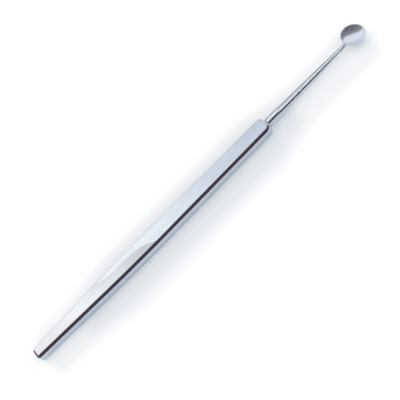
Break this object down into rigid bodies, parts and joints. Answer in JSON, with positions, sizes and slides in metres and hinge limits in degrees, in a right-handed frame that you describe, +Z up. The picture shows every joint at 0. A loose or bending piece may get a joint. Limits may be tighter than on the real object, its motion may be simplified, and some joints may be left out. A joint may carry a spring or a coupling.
{
  "type": "evisceration spoon",
  "caption": "Slender hand spoon: a flat bar handle, a round tapering shank set into its front end and a small round polished bowl.",
  "frame": {"origin": "on the resting plane, half way along the instrument and on its centre line", "axes": "+X from the rear of the handle to the tip of the bowl, +Z up through the broad face of the handle, the side the bowl opens to"},
  "size_m": [0.1399, 0.0078, 0.0038],
  "materials": {
    "satin_steel": "fine satin polish with lengthwise grain and soft polished edges",
    "polished_steel": "bright polish, fine turning marks on the collar, mirror bowl"
  },
  "bodies": {
    "root": {"handle": "satin_steel", "spoon_shank": "polished_steel"}
  },
  "joints": []
}
